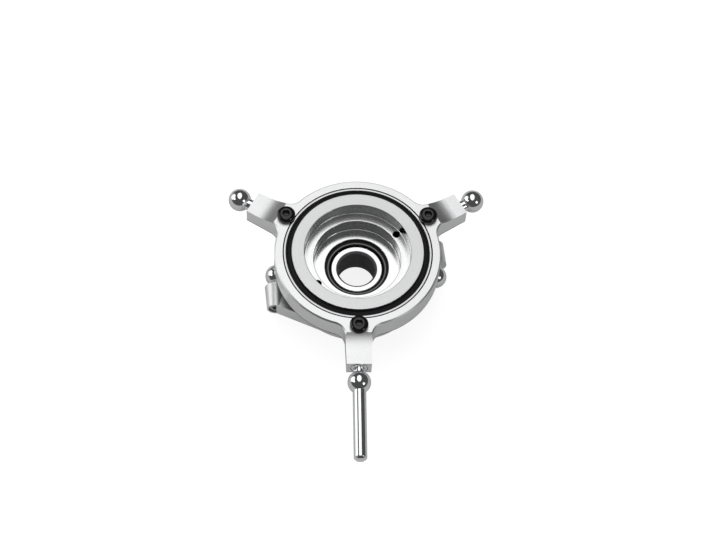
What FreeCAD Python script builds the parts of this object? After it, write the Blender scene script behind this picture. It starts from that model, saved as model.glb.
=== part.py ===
import FreeCAD, Part
import math
import os
import re
import Sketcher

# Swashplate of a small model helicopter, in millimetres.
# The origin is the centre of the pivot ball and +Z points to the plate that doesn't turn.
# The servo arms lie at 270, 30 and 150 degrees about Z, and the rotor links' balls lie on the X axis.

SIZES = {
    # pivot ball on the mast, and the two halves of its seat
    "mast_bore_dia": 8.0,
    "mast_bore_chamfer": 0.4,
    "pivot_ball_dia": 13.0,
    "pivot_ball_height": 6.8,
    "pivot_ball_gap": 0.05,
    "seat_wall": 1.0,
    "seat_rise": 0.5,
    "seat_foot_inset": 0.65,
    "seat_mouth_step": 0.6,
    "seat_split_gap": 0.1,
    "seat_turn_gap": 0.03,
    # ball bearing between the two plates
    "bearing_bore_dia": 25.0,
    "bearing_section": 3.5,
    "bearing_width": 4.0,
    "bearing_base": 6.8,
    "race_edge_chamfer": 0.25,
    "race_rim": 0.65,
    "outer_land_offset": 0.7,
    "inner_land_offset": 0.65,
    "rolling_ball_dia": 2.0,
    "rolling_ball_count": 16,
    "rolling_gap": 0.02,
    "seal_recess_depth": 0.4,
    "seal_thickness": 0.3,
    "seal_gap": 0.05,
    "cage_side_gap": 0.2,
    "cage_rim": 0.25,
    "cage_pocket_gap": 0.06,
    "press_gap": 0.02,
    # plate that doesn't turn
    "ring_wall": 1.8,
    "ring_lip_thickness": 1.35,
    "ring_lip_width": 0.8,
    "ring_edge_chamfer": 0.3,
    "servo_arm_count": 3,
    "servo_arm_length": 8.2,
    "servo_arm_root_width": 5.9,
    "servo_arm_tip_width": 5.25,
    "servo_arm_fillet": 3.0,
    "scallop_offset": 1.4,
    "scallop_depth": 1.1,
    "scallop_radius": 9.0,
    # screws that hold the bearing in that plate
    "race_screw_offset": 1.65,
    "race_screw_head_dia": 3.9,
    "race_screw_head_height": 1.35,
    "race_screw_edge_height": 0.8,
    "race_screw_length": 3.6,
    "screw_thread_dia": 2.0,
    "socket_across_flats": 1.5,
    "socket_depth": 0.8,
    "tap_gap": 0.02,
    # link balls, and the pin that stops the plate from turning
    "link_ball_dia": 4.9,
    "servo_ball_rise": 2.2,
    "servo_ball_neck": 0.85,
    "stud_neck_dia": 2.6,
    "stud_collar_dia": 3.4,
    "stud_collar_length": 0.45,
    "stud_thread_length": 3.6,
    "stud_recess_gap": 0.2,
    "stud_recess_depth": 0.35,
    "guide_pin_dia": 2.8,
    "guide_pin_length": 17.5,
    "guide_pin_dome": 0.5,
    # plate that turns with the rotor
    "plate_overhang": 1.9,
    "plate_lip_thickness": 0.85,
    "plate_lip_width": 1.1,
    "plate_foot_inset": 3.4,
    "plate_cone_height": 2.15,
    "plate_rim_height": 4.5,
    "link_arm_thickness": 3.8,
    "link_arm_count": 2,
    "link_ball_standoff": 2.9,
    "link_ball_neck": 0.45,
    "link_boss_dia": 5.1,
    "link_boss_length": 5.2,
    "link_boss_taper": 6.0,
    "link_web_angle": 20.7,
    "link_screw_head_dia": 3.1,
    "link_screw_head_height": 1.3,
    "link_screw_bite": 1.4,
    "head_recess_gap": 0.1,
    "head_recess_margin": 0.2,
    # nut that clamps the bearing and the seat
    "nut_flange_overlap": 0.5,
    "nut_flange_thickness": 0.5,
    "nut_thread_step": 1.0,
    "nut_wall": 1.1,
    "nut_ledge_width": 2.05,
    "nut_ledge_rise": 4.0,
    "nut_throat_step": 0.6,
    "nut_throat_length": 0.5,
    "nut_floor_gap": 0.1,
    "spanner_hole_dia": 1.6,
    "spanner_hole_inset": 0.95,
    "spanner_hole_rise": 1.5,
    "spanner_hole_angle": 35.5,
    "spanner_hole_count": 2,
}

# Places that several pieces share.
SEAT_RADIUS = "(pivot_ball_dia / 2 + seat_wall)"
SEAT_TOP = "(pivot_ball_height / 2 + seat_rise)"
SEAT_FOOT = "(pivot_ball_height / 2 - seat_foot_inset)"
BEARING_RADIUS = "(bearing_bore_dia / 2 + bearing_section)"
PITCH_RADIUS = "(bearing_bore_dia / 2 + bearing_section / 2)"
RING_TOP = "(bearing_base + bearing_width)"
RING_BASE = "(bearing_base - ring_lip_thickness)"
RING_RADIUS = "(%s + ring_wall)" % BEARING_RADIUS
BEARING_MIDDLE = "(bearing_base + bearing_width / 2)"
BALL_TRACK = "(rolling_ball_dia / 2 + rolling_gap)"
OUTER_LAND = "(%s + outer_land_offset)" % PITCH_RADIUS
INNER_LAND = "(%s - inner_land_offset)" % PITCH_RADIUS
RACE_MOUTH = "(%s - race_rim)" % BEARING_RADIUS
ARM_END = "(%s + servo_arm_length)" % RING_RADIUS
SERVO_BALL_HEIGHT = "(%s + servo_ball_rise)" % RING_BASE
SERVO_BALL_REACH = "(%s + servo_ball_neck + link_ball_dia / 2)" % ARM_END
RACE_SCREW_REACH = "(%s + race_screw_offset)" % BEARING_RADIUS
PLATE_RADIUS = "(bearing_bore_dia / 2 + plate_overhang)"
LINK_BALL_REACH = "(%s + link_ball_standoff)" % PLATE_RADIUS
LINK_BOSS_FACE = "(link_ball_dia / 2 + link_ball_neck)"
LINK_BOSS_END = "(%s + link_boss_length)" % LINK_BOSS_FACE
HEAD_RECESS_FLOOR = "(%s - link_screw_head_height - head_recess_margin)" % LINK_BOSS_END
NUT_THREAD = "(bearing_bore_dia / 2 - nut_thread_step)"
NUT_MOUTH = "(bearing_bore_dia / 2 - nut_wall)"


def make_sheet(doc):
    """Write the driving sizes into the sheet, a plain number in each named cell."""
    sheet = doc.addObject("Spreadsheet::Sheet", "dims")
    for row, (name, value) in enumerate(SIZES.items(), start=1):
        sheet.set("A%d" % row, name)
        sheet.set("B%d" % row, str(value))
        sheet.setAlias("B%d" % row, name)
    doc.recompute()
    return sheet


def bound(text):
    """Return the text as an expression: the name of each size is led by the name of the sheet."""
    def led(word):
        name = word.group()
        return "dims." + name if name in SIZES else name
    return re.sub(r"[a-z_]+", led, text)


class Builder:
    """Makes bodies, sketches and features whose sizes are bound to the sheet."""

    def __init__(self, doc):
        self.doc = doc
        self.gauge = doc.addObject("App::FeaturePython", "gauge")
        self.gauge.addProperty("App::PropertyFloat", "Reading")
        self.bodies = []

    def value(self, text):
        """Return the number that an expression gives now."""
        self.gauge.setExpression("Reading", bound(text))
        self.gauge.recompute()
        return self.gauge.Reading

    def body(self, label):
        body = self.doc.addObject("PartDesign::Body", label)
        body.Label = label
        self.bodies.append(body)
        return body

    def turned_body(self, label, angle):
        """Add a body that stands turned about Z by an angle in degrees."""
        body = self.body(label)
        body.Placement = FreeCAD.Placement(FreeCAD.Vector(), FreeCAD.Rotation(angle, 0, 0))
        return body

    def origin_feature(self, body, role):
        return [item for item in body.Origin.OriginFeatures if item.Role == role][0]

    def sketch(self, body, name, plane, lift="0"):
        """Add an empty sketch on an origin plane, lifted along the plane's normal."""
        sketch = body.newObject("Sketcher::SketchObject", name)
        sketch.AttachmentSupport = (self.origin_feature(body, plane), [""])
        sketch.MapMode = "FlatFace"
        sketch.setExpression(".AttachmentOffset.Base.z", bound(lift))
        return sketch

    def pin_point(self, sketch, edge, end, across, up):
        """Tie one end of an edge to its distances from the sketch's origin."""
        for kind, text, axis in (("DistanceX", across, -2), ("DistanceY", up, -1)):
            if text == "0":
                sketch.addConstraint(Sketcher.Constraint("PointOnObject", edge, end, axis))
                continue
            tie = Sketcher.Constraint(kind, -1, 1, edge, end, self.value(text))
            index = sketch.addConstraint(tie)
            sketch.setExpression("Constraints[%d]" % index, bound(text))

    def outline(self, sketch, corners, bends=None):
        """Draw a closed outline from corner to corner.

        bends gives some edges a radius and a side. Side 1 puts the centre of the arc on the left of
        the way from its first corner to its second, and side -1 puts it on the right.
        """
        bends = bends or {}
        places = [FreeCAD.Vector(self.value(across), self.value(up), 0) for across, up in corners]
        count = len(corners)
        ends = []
        for number in range(count):
            first = places[number]
            second = places[(number + 1) % count]
            if number in bends:
                radius, side = bends[number]
                edge, first_end, second_end = self.arc(sketch, first, second, radius, side)
            else:
                edge = sketch.addGeometry(Part.LineSegment(first, second), False)
                first_end, second_end = 1, 2
            ends.append((edge, first_end, second_end))
        for number in range(count):
            edge, _, second_end = ends[number]
            following, first_end, _ = ends[(number + 1) % count]
            sketch.addConstraint(Sketcher.Constraint("Coincident", edge, second_end, following, first_end))
        for number, (across, up) in enumerate(corners):
            edge, first_end, _ = ends[number]
            self.pin_point(sketch, edge, first_end, across, up)
        for number, (radius, _) in bends.items():
            index = sketch.addConstraint(Sketcher.Constraint("Radius", ends[number][0], self.value(radius)))
            sketch.setExpression("Constraints[%d]" % index, bound(radius))

    def arc(self, sketch, first, second, radius, side):
        """Add an arc between two points, and return it with the numbers of its two ends."""
        size = self.value(radius)
        chord = second - first
        left = FreeCAD.Vector(-chord.y, chord.x, 0).normalize()
        rise = math.sqrt(max(size ** 2 - (chord.Length / 2) ** 2, 0))
        centre = (first + second) * 0.5 + left * rise * side
        circle = Part.Circle(centre, FreeCAD.Vector(0, 0, 1), size)
        start, stop = (first, second) if side > 0 else (second, first)
        angles = [math.atan2(point.y - centre.y, point.x - centre.x) for point in (start, stop)]
        edge = sketch.addGeometry(Part.ArcOfCircle(circle, *angles), False)
        return (edge, 1, 2) if side > 0 else (edge, 2, 1)

    def circle(self, sketch, across, up, radius):
        """Draw a circle with its centre and radius tied."""
        centre = FreeCAD.Vector(self.value(across), self.value(up), 0)
        shape = Part.Circle(centre, FreeCAD.Vector(0, 0, 1), self.value(radius))
        edge = sketch.addGeometry(shape, False)
        self.pin_point(sketch, edge, 3, across, up)
        index = sketch.addConstraint(Sketcher.Constraint("Radius", edge, self.value(radius)))
        sketch.setExpression("Constraints[%d]" % index, bound(radius))

    def revolved(self, body, name, corners, bends=None, cut=False):
        """Turn an outline of (radius, height) corners about Z."""
        sketch = self.sketch(body, name + "_outline", "XZ_Plane")
        self.outline(sketch, corners, bends)
        kind = "PartDesign::Groove" if cut else "PartDesign::Revolution"
        feature = body.newObject(kind, name)
        feature.Profile = sketch
        feature.ReferenceAxis = (sketch, ["V_Axis"])
        feature.Angle = 360
        return feature

    def turned_about_line(self, body, name, plane, height, corners, bends=None, cut=False):
        """Turn an outline about the level line at a height in the sketch's plane."""
        sketch = self.sketch(body, name + "_outline", plane)
        sketch.setExpression(".AttachmentOffset.Base.y", bound(height))
        self.outline(sketch, corners, bends)
        kind = "PartDesign::Groove" if cut else "PartDesign::Revolution"
        feature = body.newObject(kind, name)
        feature.Profile = sketch
        feature.ReferenceAxis = (sketch, ["H_Axis"])
        feature.Angle = 360
        return feature

    def pad(self, body, name, sketch, length):
        feature = body.newObject("PartDesign::Pad", name)
        feature.Profile = sketch
        feature.setExpression("Length", bound(length))
        return feature

    def pocket(self, body, name, sketch, depth, midplane=False):
        feature = body.newObject("PartDesign::Pocket", name)
        feature.Profile = sketch
        feature.Midplane = midplane
        feature.setExpression("Length", bound(depth))
        return feature

    def ring_pattern(self, body, name, features, count):
        """Repeat features evenly about Z, and make the pattern the body's tip."""
        pattern = body.newObject("PartDesign::PolarPattern", name)
        pattern.Originals = features
        pattern.Axis = (self.origin_feature(body, "Z_Axis"), [""])
        pattern.Angle = 360
        pattern.setExpression("Occurrences", bound(count))
        body.Tip = pattern
        return pattern

    def dressed(self, body, kind, name, test, size):
        """Fillet or chamfer the edges of the body's tip that pass a test."""
        self.doc.recompute()
        base = body.Tip
        names = ["Edge%d" % (number + 1) for number, edge in enumerate(base.Shape.Edges) if test(edge)]
        feature = body.newObject("PartDesign::" + kind, name)
        feature.Base = (base, names)
        feature.setExpression("Radius" if kind == "Fillet" else "Size", bound(size))
        body.Tip = feature
        return feature

    def hexagon_socket(self, body, name, plane, lift, across, up):
        """Cut a hexagon socket into the face at a lift along the plane's normal."""
        sketch = self.sketch(body, name + "_outline", plane, lift)
        corner = "socket_across_flats / sqrt(3)"
        corners = []
        for number in range(6):
            angle = 60 * number
            corners.append(("%s + %s * cos(%d deg)" % (across, corner, angle),
                            "%s + %s * sin(%d deg)" % (up, corner, angle)))
        self.outline(sketch, corners)
        return self.pocket(body, name, sketch, "socket_depth")


def pivot_ball(builder):
    """Ball that slides on the mast: a sphere with two flat ends and a chamfered bore."""
    body = builder.body("pivot_ball")
    bore = "mast_bore_dia / 2"
    mouth = "mast_bore_dia / 2 + mast_bore_chamfer"
    face = "sqrt((pivot_ball_dia / 2) ^ 2 - (pivot_ball_height / 2) ^ 2)"
    top = "pivot_ball_height / 2"
    chamfer_foot = "pivot_ball_height / 2 - mast_bore_chamfer"
    corners = [(bore, "-(%s)" % chamfer_foot), (mouth, "-(%s)" % top), (face, "-(%s)" % top),
               (face, top), (mouth, top), (bore, chamfer_foot)]
    builder.revolved(body, "ball", corners, {2: ("pivot_ball_dia / 2", 1)})


def ball_seats(builder):
    """The two rings that hold the pivot ball, split at the ball's widest place."""
    outer = SEAT_RADIUS + " - seat_turn_gap"
    hollow = "pivot_ball_dia / 2 + pivot_ball_gap"
    split = "seat_split_gap / 2"
    start = "sqrt((%s) ^ 2 - (%s) ^ 2)" % (hollow, split)

    upper = builder.body("ball_seat_upper")
    mouth = "(pivot_ball_dia / 2 - seat_mouth_step)"
    mouth_height = "sqrt((%s) ^ 2 - (%s) ^ 2)" % (hollow, mouth)
    top = SEAT_TOP + " - seat_turn_gap"
    corners = [(start, split), (outer, split), (outer, top), (mouth, top), (mouth, mouth_height)]
    builder.revolved(upper, "seat", corners, {4: (hollow, -1)})

    lower = builder.body("ball_seat_lower")
    foot = "-(%s - seat_turn_gap)" % SEAT_FOOT
    foot_mouth = "sqrt((%s) ^ 2 - (%s - seat_turn_gap) ^ 2)" % (hollow, SEAT_FOOT)
    corners = [(foot_mouth, foot), (outer, foot), (outer, "-(%s)" % split), (start, "-(%s)" % split)]
    builder.revolved(lower, "seat", corners, {3: (hollow, -1)})


def bearing_races(builder):
    """Outer and inner race, each with a round track for the balls."""
    top = RING_TOP
    track_centre = PITCH_RADIUS
    middle = BEARING_MIDDLE

    outer = builder.body("bearing_outer_race")
    wall = BEARING_RADIUS
    shoulder = RACE_MOUTH
    land = OUTER_LAND
    half_track = "sqrt(%s ^ 2 - (%s - %s) ^ 2)" % (BALL_TRACK, land, track_centre)
    corners = [
        (shoulder, "bearing_base"),
        (wall + " - race_edge_chamfer", "bearing_base"),
        (wall, "bearing_base + race_edge_chamfer"),
        (wall, top + " - race_edge_chamfer"),
        (wall + " - race_edge_chamfer", top),
        (shoulder, top),
        (shoulder, top + " - seal_recess_depth"),
        (land, top + " - seal_recess_depth"),
        (land, "%s + %s" % (middle, half_track)),
        (land, "%s - %s" % (middle, half_track)),
        (land, "bearing_base + seal_recess_depth"),
        (shoulder, "bearing_base + seal_recess_depth"),
    ]
    builder.revolved(outer, "race", corners, {8: (BALL_TRACK, -1)})

    inner = builder.body("bearing_inner_race")
    bore = "bearing_bore_dia / 2"
    land = INNER_LAND
    half_track = "sqrt(%s ^ 2 - (%s - %s) ^ 2)" % (BALL_TRACK, track_centre, land)
    corners = [
        (bore, "bearing_base"),
        (land, "bearing_base"),
        (land, "%s - %s" % (middle, half_track)),
        (land, "%s + %s" % (middle, half_track)),
        (land, top),
        (bore, top),
    ]
    builder.revolved(inner, "race", corners, {2: (BALL_TRACK, -1)})


def bearing_rolling_parts(builder):
    """The ring of balls and the cage that spaces them."""
    doc = builder.doc
    ball = doc.addObject("Part::Sphere", "rolling_ball")
    ball.setExpression("Radius", bound("rolling_ball_dia / 2"))
    ball.setExpression("Placement.Base.x", bound(PITCH_RADIUS))
    ball.setExpression("Placement.Base.z", bound(BEARING_MIDDLE))
    doc.recompute()
    count = round(builder.value("rolling_ball_count"))
    copies = []
    for number in range(count):
        copy = ball.Shape.copy()
        copy.rotate(FreeCAD.Vector(), FreeCAD.Vector(0, 0, 1), 360 * number / count)
        copies.append(copy)
    group = doc.addObject("Part::Feature", "bearing_balls")
    group.Label = "bearing_balls"
    group.Shape = Part.makeCompound(copies)
    builder.bodies.append(group)

    cage = builder.body("bearing_cage")
    inside = INNER_LAND + " + cage_side_gap"
    outside = OUTER_LAND + " - cage_side_gap"
    foot = "%s - rolling_ball_dia / 2 - cage_rim" % BEARING_MIDDLE
    head = "%s + rolling_ball_dia / 2 + cage_rim" % BEARING_MIDDLE
    builder.revolved(cage, "hoop", [(inside, foot), (outside, foot), (outside, head), (inside, head)])
    sketch = builder.sketch(cage, "ball_pocket_outline", "YZ_Plane", outside)
    builder.circle(sketch, "0", BEARING_MIDDLE, "rolling_ball_dia / 2 + cage_pocket_gap")
    pocket = builder.pocket(cage, "ball_pocket", sketch, "rolling_ball_dia")
    builder.ring_pattern(cage, "ball_pockets", [pocket], "rolling_ball_count")


def bearing_seals(builder):
    """The two thin seals, set a little below the faces of the bearing."""
    inside = INNER_LAND + " + seal_gap"
    outside = RACE_MOUTH + " - press_gap"
    top = RING_TOP
    upper_foot = top + " - seal_recess_depth"
    lower_head = "bearing_base + seal_recess_depth"
    for label, foot, head in (
            ("bearing_seal_upper", upper_foot, upper_foot + " + seal_thickness"),
            ("bearing_seal_lower", lower_head + " - seal_thickness", lower_head)):
        seal = builder.body(label)
        builder.revolved(seal, "seal", [(inside, foot), (outside, foot), (outside, head), (inside, head)])


def stationary_ring(builder):
    """Plate that doesn't turn: a thin ring round the bearing, with three arms for the servo links."""
    body = builder.body("stationary_ring")
    wall = BEARING_RADIUS + " + press_gap"
    lip = BEARING_RADIUS + " - ring_lip_width"
    corners = [
        (lip, RING_BASE),
        (RING_RADIUS, RING_BASE),
        (RING_RADIUS, RING_TOP),
        (wall, RING_TOP),
        (wall, "bearing_base"),
        (lip, "bearing_base"),
    ]
    builder.revolved(body, "ring", corners)

    sketch = builder.sketch(body, "arm_outline", "XY_Plane", RING_BASE)
    root = "-(%s + ring_wall / 2)" % BEARING_RADIUS
    tip = "-" + ARM_END
    corners = [
        ("servo_arm_root_width / 2", root),
        ("-servo_arm_root_width / 2", root),
        ("-servo_arm_tip_width / 2", tip),
        ("servo_arm_tip_width / 2", tip),
    ]
    builder.outline(sketch, corners)
    arm = builder.pad(body, "arm", sketch, "%s - %s" % (RING_TOP, RING_BASE))
    builder.ring_pattern(body, "arms", [arm], "servo_arm_count")
    add_ring_fillets(builder, body)

    scallop = arm_scallop(builder, body)
    stud_hole = arm_stud_hole(builder, body)
    screw_hole = race_screw_hole(builder, body)
    builder.ring_pattern(body, "arm_cuts", [scallop, stud_hole, screw_hole], "servo_arm_count")


def add_ring_fillets(builder, body):
    """Blend the arms into the ring, then break the ring's outer edges."""
    rim = builder.value(RING_RADIUS)
    pocket_radius = builder.value(BEARING_RADIUS + " + press_gap")
    levels = (builder.value(RING_TOP), builder.value(RING_BASE))

    def at_root(edge):
        ends = [vertex.Point for vertex in edge.Vertexes]
        upright = len(ends) == 2 and abs(ends[0].z - ends[1].z) > 0.5 * (levels[0] - levels[1])
        return upright and all(abs(math.hypot(end.x, end.y) - rim) < 0.01 for end in ends)

    def on_outer_contour(edge):
        box = edge.BoundBox
        level = box.ZLength < 0.001 and min(abs(box.ZMin - level) for level in levels) < 0.001
        ends = [vertex.Point for vertex in edge.Vertexes]
        return level and all(math.hypot(end.x, end.y) > pocket_radius + 0.5 for end in ends)

    builder.dressed(body, "Fillet", "arm_blends", at_root, "servo_arm_fillet")
    builder.dressed(body, "Chamfer", "broken_edges", on_outer_contour, "ring_edge_chamfer")


def arm_scallop(builder, body):
    """Step across the top of an arm, with a round foot where it leaves the ring."""
    sketch = builder.sketch(body, "scallop_outline", "YZ_Plane")
    floor = "%s - scallop_depth" % RING_TOP
    over = "%s + scallop_depth" % RING_TOP
    run = "sqrt(scallop_radius ^ 2 - (scallop_radius - scallop_depth) ^ 2)"
    start = "-(%s + scallop_offset)" % RING_RADIUS
    past = "-(%s + scallop_depth)" % ARM_END
    corners = [
        (start, RING_TOP),
        ("%s - %s" % (start, run), floor),
        (past, floor),
        (past, over),
        (start, over),
    ]
    builder.outline(sketch, corners, {0: ("scallop_radius", -1)})
    width = "servo_arm_root_width + 2 * servo_arm_fillet"
    return builder.pocket(body, "scallop", sketch, width, midplane=True)


def arm_stud_hole(builder, body):
    """Tapped hole for the ball's stud, with a shallow round recess in the end of the arm."""
    past = "-(%s + stud_recess_depth)" % ARM_END
    floor = "-(%s - stud_recess_depth)" % ARM_END
    bottom = "-(%s - stud_thread_length - stud_recess_depth - tap_gap)" % ARM_END
    hole = "screw_thread_dia / 2 + tap_gap"
    recess = "stud_collar_dia / 2 + stud_recess_gap"
    corners = [
        (bottom, "0"),
        (bottom, hole),
        (floor, hole),
        (floor, recess),
        (past, recess),
        (past, "0"),
    ]
    return builder.turned_about_line(body, "stud_hole", "YZ_Plane", SERVO_BALL_HEIGHT, corners, cut=True)


def race_screw_hole(builder, body):
    """Tapped hole beside the bearing, for the screw whose head holds the outer race down."""
    sketch = builder.sketch(body, "race_screw_hole_outline", "XY_Plane", RING_TOP)
    builder.circle(sketch, "0", "-" + RACE_SCREW_REACH, "screw_thread_dia / 2 + tap_gap")
    return builder.pocket(body, "race_screw_hole", sketch, "race_screw_length + tap_gap")


def race_screws(builder):
    """Button-headed screws with a hexagon socket, one at the root of each arm."""
    head = "race_screw_head_dia / 2"
    thread = "screw_thread_dia / 2"
    seat = RING_TOP
    top = "%s + race_screw_head_height" % seat
    edge = "%s + race_screw_edge_height" % seat
    flat = "socket_across_flats * 2 / 3"
    count = round(builder.value("servo_arm_count"))
    for number in range(count):
        body = builder.turned_body("race_screw_%d" % (number + 1), 360 * number / count)
        sketch = builder.sketch(body, "screw_outline", "YZ_Plane")
        sketch.setExpression(".AttachmentOffset.Base.x", bound("-" + RACE_SCREW_REACH))
        corners = [("0", "%s - race_screw_length" % seat), (thread, "%s - race_screw_length" % seat),
                   (thread, seat), (head, seat), (head, edge), (flat, top), ("0", top)]
        builder.outline(sketch, corners, {4: ("race_screw_head_dia / 2", 1)})
        screw = body.newObject("PartDesign::Revolution", "screw")
        screw.Profile = sketch
        screw.ReferenceAxis = (sketch, ["V_Axis"])
        screw.Angle = 360
        builder.hexagon_socket(body, "socket", "XY_Plane", top, "0", "-" + RACE_SCREW_REACH)


def servo_balls(builder):
    """Ball studs in the arms. The one in front carries the pin that slides in the guide."""
    step = 360 / round(builder.value("servo_arm_count"))
    for label, turn in (("servo_ball_right", 1), ("servo_ball_left", 2)):
        body = builder.turned_body(label, step * turn)
        ball_stud(builder, body)
    body = builder.turned_body("guide_pin_ball", 0)
    ball_stud(builder, body)
    reach = "-(%s + guide_pin_length)" % SERVO_BALL_REACH
    radius = "guide_pin_dia / 2"
    start = "-" + SERVO_BALL_REACH
    corners = [(reach, "0"), (start, "0"), (start, radius),
               ("%s + guide_pin_dome" % reach, radius)]
    dome = "(guide_pin_dome ^ 2 + (%s) ^ 2) / (2 * guide_pin_dome)" % radius
    builder.turned_about_line(body, "pin", "YZ_Plane", SERVO_BALL_HEIGHT, corners, {3: (dome, 1)})


def ball_stud(builder, body):
    """One piece turned about the arm's line: thread, collar against the arm, neck and ball."""
    thread = "screw_thread_dia / 2"
    collar = "stud_collar_dia / 2"
    neck = "stud_neck_dia / 2"
    radius = "link_ball_dia / 2"
    face = "-(%s - stud_recess_depth)" % ARM_END
    collar_end = "%s - stud_collar_length" % face
    neck_end = "-(%s - sqrt((%s) ^ 2 - (%s) ^ 2))" % (SERVO_BALL_REACH, radius, neck)
    corners = [
        ("%s + stud_thread_length" % face, "0"),
        ("-(%s + %s)" % (SERVO_BALL_REACH, radius), "0"),
        (neck_end, neck),
        (collar_end, neck),
        (collar_end, collar),
        (face, collar),
        (face, thread),
        ("%s + stud_thread_length" % face, thread),
    ]
    builder.turned_about_line(body, "stud", "YZ_Plane", SERVO_BALL_HEIGHT, corners, {1: (radius, -1)})


def rotating_plate(builder):
    """Plate that turns with the rotor: a stepped disc with two arms for the rotor links."""
    body = builder.body("rotating_plate")
    foot = "-(%s + plate_lip_thickness)" % SEAT_FOOT
    lip = "%s - plate_lip_width" % SEAT_RADIUS
    rim = "plate_rim_height / 2"
    counterbore = NUT_THREAD + " + tap_gap"
    floor = "%s - nut_floor_gap" % SEAT_TOP
    corners = [
        (lip, foot),
        ("%s - plate_foot_inset" % PLATE_RADIUS, foot),
        (PLATE_RADIUS, "-" + rim),
        (PLATE_RADIUS, rim),
        (INNER_LAND, rim + " + plate_cone_height"),
        (INNER_LAND, "bearing_base"),
        (counterbore, "bearing_base"),
        (counterbore, floor),
        (SEAT_RADIUS, floor),
        (SEAT_RADIUS, "-" + SEAT_FOOT),
        (lip, "-" + SEAT_FOOT),
    ]
    builder.revolved(body, "disc", corners)
    features = [link_web(builder, body), link_boss(builder, body)]
    hole = ("link_hole", "screw_thread_dia / 2 + tap_gap", "link_boss_length")
    depth = "%s - %s" % (LINK_BOSS_END, HEAD_RECESS_FLOOR)
    recess = ("head_recess", "link_screw_head_dia / 2 + head_recess_gap", depth)
    for name, radius, depth in (hole, recess):
        sketch = builder.sketch(body, name + "_outline", "XZ_Plane", LINK_BOSS_END)
        builder.circle(sketch, "-" + LINK_BALL_REACH, "0", radius)
        features.append(builder.pocket(body, name, sketch, depth))
    builder.ring_pattern(body, "link_arms", features, "link_arm_count")


def link_web(builder, body):
    """Flat web from the disc's edge out to the boss, with its near side almost a tangent."""
    sketch = builder.sketch(body, "link_web_outline", "XY_Plane", "-link_arm_thickness / 2")
    angle = "link_web_angle * 1 deg"
    corners = [
        ("-" + LINK_BALL_REACH, "-" + LINK_BOSS_FACE),
        ("-" + LINK_BALL_REACH, "-" + LINK_BOSS_END),
        ("-%s * sin(%s)" % (PLATE_RADIUS, angle), "-%s * cos(%s)" % (PLATE_RADIUS, angle)),
        ("-(%s + %s) / 2" % (SEAT_RADIUS, PLATE_RADIUS), "-" + LINK_BOSS_FACE),
    ]
    builder.outline(sketch, corners)
    return builder.pad(body, "link_web", sketch, "link_arm_thickness")


def link_boss(builder, body):
    """Tapered round boss along Y that carries the link's ball at its wide end."""
    sketch = builder.sketch(body, "link_boss_outline", "XZ_Plane", LINK_BOSS_FACE)
    builder.circle(sketch, "-" + LINK_BALL_REACH, "0", "link_boss_dia / 2")
    boss = builder.pad(body, "link_boss", sketch, "link_boss_length")
    boss.setExpression("TaperAngle", bound("-link_boss_taper"))
    return boss


def link_balls(builder):
    """Balls beside the bosses of the turning plate, each held by a screw through its boss."""
    radius = "link_ball_dia / 2"
    neck = "stud_neck_dia / 2"
    thread = "screw_thread_dia / 2"
    face = "-" + LINK_BOSS_FACE
    neck_end = "-sqrt((%s) ^ 2 - (%s) ^ 2)" % (radius, neck)
    bite = "%s + link_screw_bite" % face
    recess_floor = "-" + HEAD_RECESS_FLOOR
    head_end = "%s - link_screw_head_height" % recess_floor
    for side, turn in (("left", 0), ("right", 180)):
        ball = builder.turned_body("link_ball_" + side, turn)
        hole = thread + " + tap_gap"
        corners = [(face, hole), (face, neck), (neck_end, neck), (radius, "0"),
                   (bite + " + tap_gap", "0"), (bite + " + tap_gap", hole)]
        feature = builder.turned_about_line(ball, "ball", "YZ_Plane", "0", corners, {2: (radius, -1)})
        feature.Profile[0].setExpression(".AttachmentOffset.Base.z", bound("-" + LINK_BALL_REACH))

        screw = builder.turned_body("link_screw_" + side, turn)
        head = "link_screw_head_dia / 2"
        corners = [(head_end, "0"), (head_end, head), (recess_floor, head), (recess_floor, thread),
                   (bite, thread), (bite, "0")]
        feature = builder.turned_about_line(screw, "screw", "YZ_Plane", "0", corners)
        feature.Profile[0].setExpression(".AttachmentOffset.Base.z", bound("-" + LINK_BALL_REACH))
        builder.hexagon_socket(screw, "socket", "XZ_Plane", "-(%s)" % head_end, "-" + LINK_BALL_REACH, "0")


def clamp_nut(builder):
    """Nut with the stepped bore for the mast's bearing block: it clamps the inner race and the ball's seat."""
    body = builder.body("clamp_nut")
    top = "(%s + nut_flange_thickness)" % RING_TOP
    sleeve = "bearing_bore_dia / 2 - press_gap"
    flange = "%s + nut_flange_overlap" % INNER_LAND
    ledge = "%s - nut_ledge_width" % NUT_MOUTH
    throat = "%s - nut_throat_step" % SEAT_RADIUS
    corners = [
        (throat, SEAT_TOP),
        (NUT_THREAD, SEAT_TOP),
        (NUT_THREAD, "bearing_base"),
        (sleeve, "bearing_base"),
        (sleeve, RING_TOP),
        (flange, RING_TOP),
        (flange, top),
        (NUT_MOUTH, top),
        (NUT_MOUTH, "%s + nut_ledge_rise" % SEAT_TOP),
        (ledge, "%s + nut_ledge_rise" % SEAT_TOP),
        (ledge, "%s + nut_throat_length" % SEAT_TOP),
        (throat, "%s + nut_throat_length" % SEAT_TOP),
    ]
    builder.revolved(body, "nut", corners)

    sketch = builder.sketch(body, "spanner_hole_outline", "XY_Plane", top)
    reach = "(%s - spanner_hole_inset)" % NUT_MOUTH
    across = "%s * cos(spanner_hole_angle * 1 deg)" % reach
    up = "%s * sin(spanner_hole_angle * 1 deg)" % reach
    builder.circle(sketch, across, up, "spanner_hole_dia / 2")
    hole = builder.pocket(body, "spanner_hole", sketch, "%s - %s - spanner_hole_rise" % (top, SEAT_TOP))
    builder.ring_pattern(body, "spanner_holes", [hole], "spanner_hole_count")


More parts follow.
